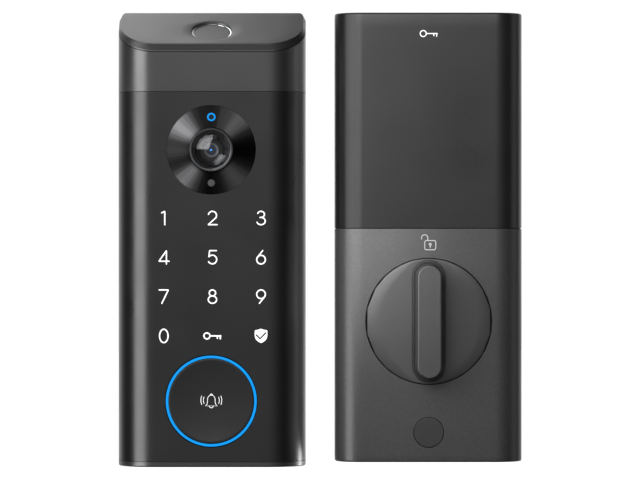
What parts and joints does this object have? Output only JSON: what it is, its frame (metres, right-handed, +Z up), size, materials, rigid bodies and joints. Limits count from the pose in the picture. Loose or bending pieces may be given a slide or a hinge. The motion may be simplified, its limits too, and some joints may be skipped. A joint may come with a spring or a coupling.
{
  "type": "keypad smart lock",
  "caption": "Keypad smart lock, exterior unit with camera, doorbell and fingerprint pad, interior unit with thumb turn and battery.",
  "frame": {"origin": "the exterior unit's spindle axis, in the plane of the door face that both units lie on", "axes": "+X to the right as seen from the front, +Y into the door, +Z up"},
  "size_m": [0.1545, 0.11, 0.1747],
  "materials": {
    "graphite_satin": "satin, very fine texture",
    "panel_black": "satin black hard coat",
    "dark_plastic": "fine moulded texture",
    "glass_dark": "polished",
    "light_guide": "frosted",
    "blue_light": "frosted, lit from behind",
    "bright_ring": "polished",
    "sensor_pad": "satin hard coat",
    "rubber": "matte",
    "zinc": "die cast, satin",
    "steel": "zinc plated",
    "brass": "turned",
    "board": "solder mask",
    "gear_plastic": "moulded acetal",
    "interior_grey": "satin metallic paint",
    "battery_wrap": "printed wrap, left plain"
  },
  "bodies": {
    "exterior_unit": {"exterior_cover": "panel_black", "exterior_top_cap": "graphite_satin", "exterior_top_plate": "graphite_satin", "exterior_bottom_cap": "graphite_satin", "exterior_chassis": "zinc", "exterior_screws": "steel", "exterior_gasket": "rubber", "fingerprint_bezel": "bright_ring", "fingerprint_sensor": "sensor_pad", "fingerprint_board": "board", "camera_bezel": "panel_black", "status_light_ring": "blue_light", "light_sensor_window": "glass_dark", "lens_ring": "sensor_pad", "lens_glass": "glass_dark", "lens_baffle": "dark_plastic", "lens_barrel": "dark_plastic", "lens_element": "glass_dark", "camera_module": "dark_plastic", "keypad_light_guide": "light_guide", "keypad_board": "board", "doorbell_light_ring": "blue_light", "doorbell_board": "board", "doorbell_switch": "dark_plastic", "exterior_main_board": "board", "exterior_cable_socket": "dark_plastic", "speaker": "dark_plastic", "emergency_power_port": "steel", "key_cylinder": "brass", "spindle_bush": "brass"},
    "doorbell": {"doorbell_button": "panel_black"},
    "key": {"key_plug": "brass", "plug_bevel_gear": "steel"},
    "spindle": {"torque_blade": "steel", "spindle_bevel_gear": "steel"},
    "interior_unit": {"interior_housing": "interior_grey", "interior_chassis": "zinc", "mounting_plate": "zinc", "plate_screws": "steel", "housing_screws": "steel", "gearbox_plate": "dark_plastic", "hub_bush": "brass", "compound_axle": "steel", "motor": "steel", "lock_button_switch": "dark_plastic", "battery_pack": "battery_wrap", "battery_tray": "dark_plastic", "battery_contacts": "brass", "interior_main_board": "board", "buzzer": "dark_plastic", "interior_cable_socket": "dark_plastic"},
    "cover": {"battery_cover": "graphite_satin"},
    "thumb_turn": {"thumb_turn_disc": "interior_grey", "thumb_turn_grip": "interior_grey", "spindle_hub": "steel", "main_gear": "gear_plastic", "retaining_ring": "steel"},
    "reduction": {"compound_gear": "gear_plastic"},
    "motor_shaft": {"motor_pinion": "brass"},
    "lock_button": {"lock_button": "interior_grey"}
  },
  "joints": [
    {"name": "doorbell_press", "type": "slide", "parent": "exterior_unit", "child": "doorbell", "axis": [0, 1, 0], "range_m": [0, 0.0006], "stiffness_N_per_m": 900, "springref_m": -0.001},
    {"name": "key_turn", "type": "hinge", "parent": "exterior_unit", "child": "key", "pos_m": [0, -0.0122, -0.03], "axis": [0, 0, 1], "range_deg": [-90, 90]},
    {"name": "spindle_turn", "type": "hinge", "parent": "exterior_unit", "child": "spindle", "pos_m": [0, -0.0122, 0], "axis": [0, 1, 0], "range_deg": [-90, 90]},
    {"name": "interior_unit_place", "type": "slide", "parent": "exterior_unit", "child": "interior_unit", "axis": [1, 0, 0], "range_m": [0, 0.1]},
    {"name": "cover_slide", "type": "slide", "parent": "interior_unit", "child": "cover", "axis": [0, 0, 1], "range_m": [0, 0.09]},
    {"name": "thumb_turn_turn", "type": "hinge", "parent": "interior_unit", "child": "thumb_turn", "pos_m": [0.0828, -0.03, 0], "axis": [0, 1, 0], "range_deg": [-90, 90]},
    {"name": "reduction_spin", "type": "hinge", "parent": "interior_unit", "child": "reduction", "pos_m": [0.0958, -0.024, -0.02252], "axis": [0, 1, 0], "range_deg": [-300, 300]},
    {"name": "motor_spin", "type": "hinge", "parent": "interior_unit", "child": "motor_shaft", "pos_m": [0.0758, -0.02, -0.02252], "axis": [0, 1, 0], "range_deg": [-900, 900]},
    {"name": "lock_button_press", "type": "slide", "parent": "interior_unit", "child": "lock_button", "axis": [0, 1, 0], "range_m": [0, 0.0008], "stiffness_N_per_m": 900, "springref_m": -0.001}
  ],
  "couplings": [
    {"joint": "spindle_turn", "follows": "key_turn", "ratio": -1},
    {"joint": "reduction_spin", "follows": "thumb_turn_turn", "ratio": -3.3333},
    {"joint": "motor_spin", "follows": "thumb_turn_turn", "ratio": 10}
  ]
}
